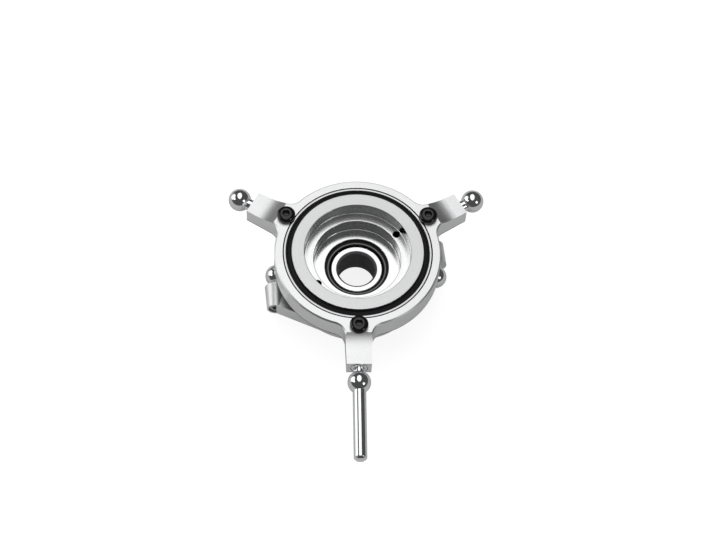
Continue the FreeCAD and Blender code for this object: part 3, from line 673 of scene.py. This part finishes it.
class SWASH_OT_clamp_nut(bpy.types.Operator):
    """Turn the nut: flange, stepped bore with broken edges, thread relief and two spanner holes"""

    bl_idname = "swash.clamp_nut"
    bl_label = "Clamp nut"

    def execute(self, context):
        size = in_millimetres(context.scene.swash_size)
        (_, _, foot), (flange, _, top) = box_in_millimetres("clamp_nut")
        corners = [(size.nut_sleeve, size.nut_thread_top, 0.1), (size.nut_sleeve, size.nut_flange_foot, 0.05),
                   (flange, size.nut_flange_foot, 0.06), (flange, top, 0.1),
                   (size.nut_mouth, top, 0.14), (size.nut_mouth, size.nut_ledge, 0.1),
                   (size.nut_waist, size.nut_ledge, 0.14), (size.nut_waist, size.nut_floor, 0.1),
                   (size.nut_throat, size.nut_floor, 0.12), (size.nut_throat, foot, 0.1),
                   (size.nut_thread, foot, 0.2), (size.nut_thread, size.nut_thread_top, 0.05)]
        profile = rounded(corners)

        # The ledge runs between the sixth and the seventh corner. It gets rows for the holes.
        ledge_corner, ledge_rows = 6, 8
        first = ledge_corner * (len(profile) // len(corners)) - 1
        last = first + ledge_rows - 1
        ledge = np.linspace(profile[first], profile[first + 1], ledge_rows)[1:-1]
        profile = np.concatenate([profile[:first + 1], ledge, profile[first + 1:]])
        points, faces = turned(profile, NUT_STEPS)
        for angle in SPANNER_HOLES:
            points, faces = drilled(points, faces, NUT_STEPS, first, last, angle,
                                    size.spanner_reach, size.spanner_radius, size.spanner_depth)
        metal = nut_metal("nut_turned", context.scene.swash_finish, size, top)
        add_piece("nut_with_stepped_bore", points, faces, metal, "rotating_half", "nut_aluminium",
                  "clamp_nut")
        return {"FINISHED"}


class SWASH_OT_bearing(bpy.types.Operator):
    """Turn the races and the seals of the bearing, and finish its balls and its cage"""

    bl_idname = "swash.bearing"
    bl_label = "Bearing"

    def execute(self, context):
        finish = context.scene.swash_finish
        size = in_millimetres(context.scene.swash_size)
        (_, _, foot), (rim, _, top) = box_in_millimetres("bearing_outer_race")
        middle = (foot + top) / 2
        groove_foot, groove_top = middle - size.groove_width, middle + size.groove_width
        # The outer race is painted near black as shade past this rim, in the gap between it and the fixed
        # ring.
        steel = turned_metal("race_ground", finish.race, finish.turning_pitch * 0.5, roughness=0.2,
                             depth=0.1, rim=(rim - 0.18) * MM)

        land, recess, dip = size.outer_race_land, size.outer_race_recess, size.seal_recess
        outer = [(land, foot + dip, 0.03), (recess, foot + dip, 0.03), (recess, foot, 0.07), (rim, foot, 0.3),
                 (rim, top, 0.3), (recess, top, 0.07), (recess, top - dip, 0.03), (land, top - dip, 0.03),
                 (land, groove_top, 0.03), (size.outer_race_groove, middle, 0.6), (land, groove_foot, 0.03)]
        add_piece("outer_race_ground", *turned(rounded(outer)), steel, "stationary_half", "bearing_steel",
                  "bearing_outer_race")

        bore, land = size.inner_race_bore, size.inner_race_land
        inner = [(bore, foot, 0.2), (land, foot, 0.07), (land, groove_foot, 0.03),
                 (size.inner_race_groove, middle, 0.6), (land, groove_top, 0.03), (land, top, 0.07),
                 (bore, top, 0.2)]
        add_piece("inner_race_ground", *turned(rounded(inner)), steel, "rotating_half", "bearing_steel",
                  "bearing_inner_race")

        rubber = moulded("seal_rubber_skin", finish.rubber, 0.38)
        lip, edge = size.seal_inside, size.seal_outside
        for side in ("upper", "lower"):
            (_, _, low), (_, _, high) = box_in_millimetres("bearing_seal_" + side)
            back, face = (low, high) if side == "upper" else (high, low)
            dip = back + (face - back) * 0.45
            seal = [(lip, back, 0.03), (edge, back, 0.03), (edge, face, 0.1), (edge - 0.31, face, 0.08),
                    (edge - 0.41, dip, 0.06), (lip + 0.64, dip, 0.06), (lip + 0.54, face, 0.08),
                    (lip, face, 0.08)]
            add_piece("seal_" + side, *turned(rounded(seal)), rubber, "stationary_half", "seal_rubber",
                      "bearing_seal_" + side)
        dress(polished_metal("rolling_polish", finish.polished), "bearing_balls")
        dress(moulded("cage_nylon", finish.nylon, 0.4), "bearing_cage")
        return {"FINISHED"}


class SWASH_OT_ball_joint(bpy.types.Operator):
    """Turn the pivot ball and the two halves of its seat"""

    bl_idname = "swash.ball_joint"
    bl_label = "Ball joint"

    def execute(self, context):
        finish = context.scene.swash_finish
        size = in_millimetres(context.scene.swash_size)
        _, (radius, _, half) = box_in_millimetres("pivot_ball")
        bore, chamfer = size.mast_bore, size.mast_bore_chamfer
        edge = math.degrees(math.asin(half / radius))
        sphere = arc((0, 0), radius, 1.5 - edge, edge - 1.5, 48)
        face = along_ball(radius, half) - 0.12
        hole = rounded([(face + 0.6, half - 0.7, 0.01), (face, half, 0.1), (bore + chamfer, half, 0.05),
                        (bore, half - chamfer, 0.05), (bore, chamfer - half, 0.05),
                        (bore + chamfer, -half, 0.05), (face, -half, 0.1), (face + 0.6, 0.7 - half, 0.01)],
                       closed=False)[2:-2]
        metal = bored_ball("pivot_ground", finish.polished, finish.bore, bore * MM, finish.turning_pitch)
        add_piece("pivot_ball_ground", *turned(np.concatenate([sphere, hole])), metal, "mast_ball",
                  "pivot_steel", "pivot_ball", crease=50)

        acetal = moulded("seat_acetal", finish.acetal, 0.16, line=size.seat_painted_highlight * MM)
        hollow, mouth = radius + size.seat_gap, radius - size.seat_mouth
        for side, sign in (("upper", 1), ("lower", -1)):
            (_, _, low), (rim, _, high) = box_in_millimetres("ball_seat_" + side)
            near, far = (low, high) if sign > 0 else (-high, -low)
            far -= size.seat_clearance
            rim -= size.seat_clearance
            start = math.degrees(math.asin(near / hollow))
            end = math.degrees(math.acos(mouth / hollow))
            cup = arc((0, 0), hollow, end, start, 24)
            step = min(size.seat_step, (far - cup[0, 1]) * 0.4)
            outside = rounded([(hollow, near, 0.01), (rim, near, 0.1), (rim, far, 0.12),
                               (size.seat_lip + 0.15, far, 0.08), (size.seat_lip, far - step, 0.08),
                               (mouth, far - step, 0.08), (mouth, cup[0, 1], 0.01)], closed=False)
            points, faces = turned(np.concatenate([outside[1:-1], cup]))
            points[:, 2] *= sign
            add_piece("seat_" + side, points, faces, acetal, "ball_seat", "seat_plastic", "ball_seat_" + side)
        return {"FINISHED"}


class SWASH_OT_links(bpy.types.Operator):
    """Turn the ball studs, the guide pin and the link balls"""

    bl_idname = "swash.links"
    bl_label = "Links and pin"

    def execute(self, context):
        size = in_millimetres(context.scene.swash_size)
        metal = polished_metal("ball_polish", context.scene.swash_finish.polished)
        ball, neck, reach, arm = size.ball_radius, size.neck_radius, size.ball_reach, size.arm_reach
        rise = math.degrees(math.asin((neck + 0.12) / ball))
        foot, collar = arm - size.stud_length, arm - 0.35
        shank = rounded([(0, foot, 0.01), (size.stud_radius, foot, 0.15), (size.stud_radius, collar, 0.02),
                         (size.collar_radius, collar, 0.08), (size.collar_radius, arm + 0.1, 0.18),
                         (neck, arm + 0.1, 0.16), (neck, reach - along_ball(ball, neck), 0.1),
                         (ball * LEAD, reach - ball * LEAD, 0.01)], closed=False)[:-1]

        sphere = arc((0, reach), ball, rise - 90, 90, 64)
        sphere[:, 1] = np.minimum(sphere[:, 1], reach + along_ball(ball, size.ball_flat))
        stud = np.concatenate([shank, sphere])
        for side, angle in SERVO_ARMS.items():
            points, faces = turned(stud, SHAFT_STEPS, loop=False)
            add_piece("servo_ball_stud_" + side, laid(points, (0, 0, size.arm_height), angle), faces, metal,
                      "stationary_half", "polished_steel", "servo_ball_" + side)

        pin, tip = size.pin_radius, -box_in_millimetres("guide_pin_ball")[0][1]
        leave = math.degrees(math.asin((pin + 0.1) / ball))
        sphere = arc((0, reach), ball, rise - 90, 90 - leave, 56)
        rod = rounded([(ball * LEAD, reach + ball * LEAD, 0.01), (pin, reach + along_ball(ball, pin), 0.12),
                       (pin, tip - 0.5, 0.25), (pin - 0.45, tip - 0.05, 0.3), (0, tip, 0.01)],
                      closed=False)[1:]
        points, faces = turned(np.concatenate([shank, sphere, rod]), SHAFT_STEPS, loop=False)
        add_piece("guide_pin_stud", laid(points, (0, 0, size.arm_height), PIN_ARM), faces, metal,
                  "stationary_half", "polished_steel", "guide_pin_ball")

        face, tap, end = size.link_face, size.link_tap_radius, size.link_tap_end
        sphere = arc((0, 0), ball, 90, rise - 90, 64)
        throat = rounded([(ball * LEAD, -ball * LEAD, 0.01), (neck, -along_ball(ball, neck), 0.1),
                          (neck, -face, 0.04), (tap, -face, 0.04), (tap, -end, 0.04), (0, -end, 0.01)],
                         closed=False)[1:]
        for side, (sign, angle) in ROTOR_LINKS.items():
            points, faces = turned(np.concatenate([sphere, throat]), SHAFT_STEPS, loop=False)
            add_piece("link_ball_" + side + "_ground", laid(points, (sign * size.link_reach, 0, 0), angle),
                      faces, metal, "rotating_half", "polished_steel", "link_ball_" + side)
        return {"FINISHED"}


class SWASH_OT_screws(bpy.types.Operator):
    """Turn the screws with their hexagon sockets"""

    bl_idname = "swash.screws"
    bl_label = "Screws"

    def execute(self, context):
        finish = context.scene.swash_finish
        size = in_millimetres(context.scene.swash_size)
        metal = black_oxide("screw_black", finish.black_steel)
        head, seat, top = size.race_screw_head, size.race_screw_seat, size.race_screw_top
        mouth, thread, tip = size.race_socket_mouth, size.thread_radius, seat - size.race_screw_length
        edge = seat + size.race_screw_edge
        crown = [(mouth + (head - mouth) * math.sin(turn), edge + (top - edge) * math.cos(turn), 0)
                 for turn in np.linspace(0, math.pi / 2, 11)]
        rows = socket_rows(size.race_socket_flats, size.race_socket_depth, top, mouth) + crown + [
            (head, seat + 0.12, 0), (head - 0.03, seat + 0.04, 0), (head - 0.1, seat, 0),
            (thread + 0.05, seat, 0), (thread, seat - 0.05, 0), (thread, tip + 0.3, 0),
            (thread - 0.25, tip, 0), (0, tip, 0)]
        for number, angle in RACE_SCREWS.items():
            points, faces = with_socket(rows)
            turn = math.radians(angle)
            place = size.race_screw_circle * np.array([math.cos(turn), math.sin(turn), 0])
            add_piece("race_screw_%d_socket_head" % number, points + place, faces, metal, "stationary_half",
                      "black_steel", "race_screw_%d" % number)

        dark = turned_metal("link_screw_steel", finish.dark_steel, finish.turning_pitch, roughness=0.2)
        head, seat, end = size.link_screw_head, size.link_screw_seat, size.link_screw_end
        mouth, tip = size.link_socket_mouth, size.link_screw_tip
        rows = socket_rows(size.link_socket_flats, size.link_socket_depth, end, mouth) + [
            (mouth + 0.03, end, 0), (head - 0.25, end - 0.02, 0), (head - 0.1, end - 0.08, 0),
            (head - 0.02, end - 0.2, 0), (head, end - 0.32, 0), (head, seat + 0.04, 0),
            (head - 0.05, seat, 0), (thread + 0.05, seat, 0), (thread, seat - 0.05, 0),
            (thread, tip + 0.2, 0), (thread - 0.2, tip, 0), (0, tip, 0)]
        for side, (sign, angle) in ROTOR_LINKS.items():
            points, faces = with_socket(rows)
            place = (sign * size.link_reach, 0, 0)
            add_piece("link_screw_%s_socket_head" % side, laid(points, place, (angle + 180) % 360), faces,
                      dark, "rotating_half", "black_steel", "link_screw_" + side)
        return {"FINISHED"}


class SWASH_OT_stage(bpy.types.Operator):
    """Set the floor, the world, the lamps and the camera"""

    bl_idname = "swash.stage"
    bl_label = "Stage"

    def execute(self, context):
        stage = context.scene.swash_stage
        add_floor(stage)
        set_world(context.scene)
        add_lamps()
        add_camera(context.scene, stage)
        context.scene.view_settings.view_transform = "Standard"
        return {"FINISHED"}


def add_floor(stage):
    """A pale floor, as far below as the tilting part reaches: white to the camera, with the part's shadow."""
    half = stage.floor_size / 2
    level = FRAME_LOW[2] - stage.floor_drop
    corners = [(-half, -half, level), (half, -half, level), (half, half, level), (-half, half, level)]
    mesh = bpy.data.meshes.new("floor")
    mesh.from_pydata(corners, [], [(0, 1, 2, 3)])
    floor = bpy.data.objects.new("floor", mesh)
    bpy.context.collection.objects.link(floor)
    shader = new_shader("floor_white")
    seen = shader.term(shader.node("ShaderNodeLightPath"), "Is Camera Ray")
    mesh.materials.append(shader.surface(
        Base_Color=shader.mixed(seen, grey(stage.floor_tone), grey(0.28)), Roughness=0.9,
        Emission_Color=shader.mixed(seen, grey(0.0), grey(0.8)), Emission_Strength=1.0))


def set_world(scene):
    """White for the camera, pale for the light on matt surfaces, and a dim room for reflections."""
    scene.world = bpy.data.worlds.new("studio")
    shader = Shader(scene.world, "ShaderNodeOutputWorld")
    rays = shader.node("ShaderNodeLightPath")
    light = None
    for strength, ray in ((0.075, None), (0.75, "Is Diffuse Ray"), (1.0, "Is Camera Ray")):
        shade = shader.term(shader.node("ShaderNodeBackground", Color=grey(1.0), Strength=strength))
        if ray:
            share = shader.term(rays, ray)
            shade = shader.term(shader.node("ShaderNodeMixShader", i0=share, i1=light, i2=shade))
        light = shade
    shader.feed(shader.output.inputs["Surface"], light)


def add_lamps():
    """Soft boxes overhead and to the back, at the left and at the front right, and a spot on each side.

    Each lamp is an ellipse. Its power is its level times pi times its area, so the level is how bright its
    face is.
    """
    for name, place, facing, width, height, level in (
            ("overhead_box", (-0.04, 0.40, 1.0), (0, 0, 1), 0.78, 1.46, 1.25),
            ("left_box", (-1.0, 0.35, 0.42), (-1, 0.3, 0.35), 0.95, 0.95, 1.2),
            ("front_box", (0.82, -0.57, 0.66), (0.82, -0.57, 0.66), 0.45, 0.45, 1.5),
            ("left_spot", (-0.72, -0.12, 0.52), (-0.72, -0.12, 0.52), 0.15, 0.15, 9.0),
            ("right_spot", (0.62, -0.50, 0.62), (0.62, -0.50, 0.62), 0.12, 0.12, 9.0)):
        data = bpy.data.lights.new(name, "AREA")
        data.shape = "ELLIPSE"
        data.size = width
        data.size_y = height
        data.energy = level * math.pi * width * height * math.pi / 4
        lamp = bpy.data.objects.new(name, data)
        lamp.location = place
        lamp.rotation_euler = Vector(facing).to_track_quat("Z", "Y").to_euler()
        bpy.context.collection.objects.link(lamp)


def add_camera(scene, stage):
    """Place the camera by its elevation, roll and swing round the middle of the ring's top."""
    sine, cosine = math.sin(stage.elevation), math.cos(stage.elevation)
    right = Vector((1, 0, 0))
    up = Vector((0, sine, cosine))
    back = Vector((0, -cosine, sine))
    tilted_right = math.cos(stage.roll) * right - math.sin(stage.roll) * up
    tilted_up = math.sin(stage.roll) * right + math.cos(stage.roll) * up
    swing = Matrix.Rotation(-stage.swing, 3, "Z")
    axes = [swing @ axis for axis in (tilted_right, tilted_up, back)]
    ring_top = Vector((0, 0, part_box("stationary_ring")[1][2]))
    place = ring_top - axes[0] * stage.aside - axes[1] * stage.above + axes[2] * stage.distance
    data = bpy.data.cameras.new("camera")
    data.lens = stage.lens
    data.clip_start = 0.01
    camera = bpy.data.objects.new("camera", data)
    camera.matrix_world = Matrix.Translation(place) @ Matrix(axes).transposed().to_4x4()
    scene.collection.objects.link(camera)
    scene.camera = camera


class SWASH_PT_panel(bpy.types.Panel):
    """Lists the pieces of the swashplate and its stage"""

    bl_idname = "SWASH_PT_panel"
    bl_label = "Swashplate"
    bl_space_type = "VIEW_3D"
    bl_region_type = "UI"
    bl_category = "Swashplate"

    def draw(self, context):
        layout = self.layout
        for settings in (context.scene.swash_size, context.scene.swash_finish, context.scene.swash_stage):
            for name in settings.__annotations__:
                layout.prop(settings, name)
        for operator in OPERATORS:
            layout.operator(operator.bl_idname)


OPERATORS = (SWASH_OT_fixed_ring, SWASH_OT_turning_plate, SWASH_OT_clamp_nut, SWASH_OT_bearing,
             SWASH_OT_ball_joint, SWASH_OT_links, SWASH_OT_screws, SWASH_OT_stage)
CLASSES = (SizeSettings, FinishSettings, StageSettings, *OPERATORS, SWASH_PT_panel)


def register():
    """Register the classes and hang the settings on the scene."""
    for item in CLASSES:
        bpy.utils.register_class(item)
    bpy.types.Scene.swash_size = PointerProperty(type=SizeSettings)
    bpy.types.Scene.swash_finish = PointerProperty(type=FinishSettings)
    bpy.types.Scene.swash_stage = PointerProperty(type=StageSettings)


def unregister():
    """Take the settings off the scene and the classes out again."""
    del bpy.types.Scene.swash_stage
    del bpy.types.Scene.swash_finish
    del bpy.types.Scene.swash_size
    for item in reversed(CLASSES):
        bpy.utils.unregister_class(item)


def main():
    """Register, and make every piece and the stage."""
    register()
    for operator in OPERATORS:
        getattr(bpy.ops.swash, operator.bl_idname.split(".")[1])()


if __name__ == "__main__":
    main()
